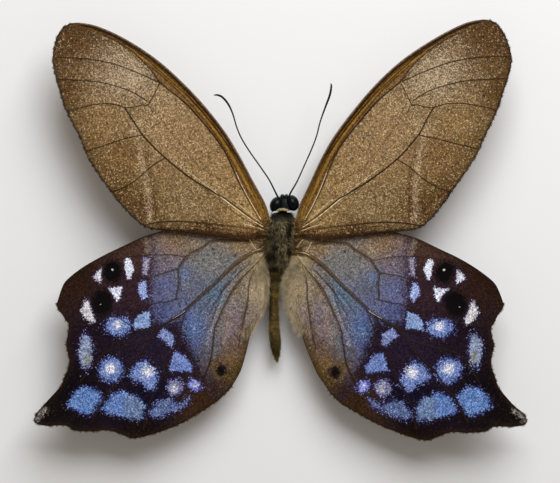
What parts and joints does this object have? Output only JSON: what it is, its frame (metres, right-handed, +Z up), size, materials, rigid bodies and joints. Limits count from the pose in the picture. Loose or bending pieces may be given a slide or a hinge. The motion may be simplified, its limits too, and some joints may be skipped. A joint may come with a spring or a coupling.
{
  "type": "spread butterfly specimen",
  "caption": "Dried butterfly set with its wings spread flat, brown forewings and tailed blue-marked hindwings, resting on its belly and walking legs.",
  "frame": {"origin": "on the surface that the specimen rests on, in the flat of the belly under the thorax", "axes": "+Y towards the head, +X towards the specimen's right wings, +Z up out of the wings' upper side"},
  "size_m": [0.0689, 0.0585, 0.0083],
  "materials": {
    "forewing": "matte",
    "hindwing": "matte",
    "thorax_fur": "matte",
    "abdomen_scales": "matte",
    "head_fur": "matte",
    "eye": "satin",
    "limb": "satin"
  },
  "bodies": {
    "root": {"thorax": "thorax_fur", "abdomen": "abdomen_scales", "head": "head_fur", "left_eye": "eye", "right_eye": "eye", "left_antenna": "limb", "right_antenna": "limb", "left_palp": "head_fur", "right_palp": "head_fur", "proboscis": "limb", "left_forewing": "forewing", "right_forewing": "forewing", "left_hindwing": "hindwing", "right_hindwing": "hindwing", "left_foreleg": "limb", "right_foreleg": "limb", "left_midleg": "limb", "right_midleg": "limb", "left_hindleg": "limb", "right_hindleg": "limb"}
  },
  "joints": []
}
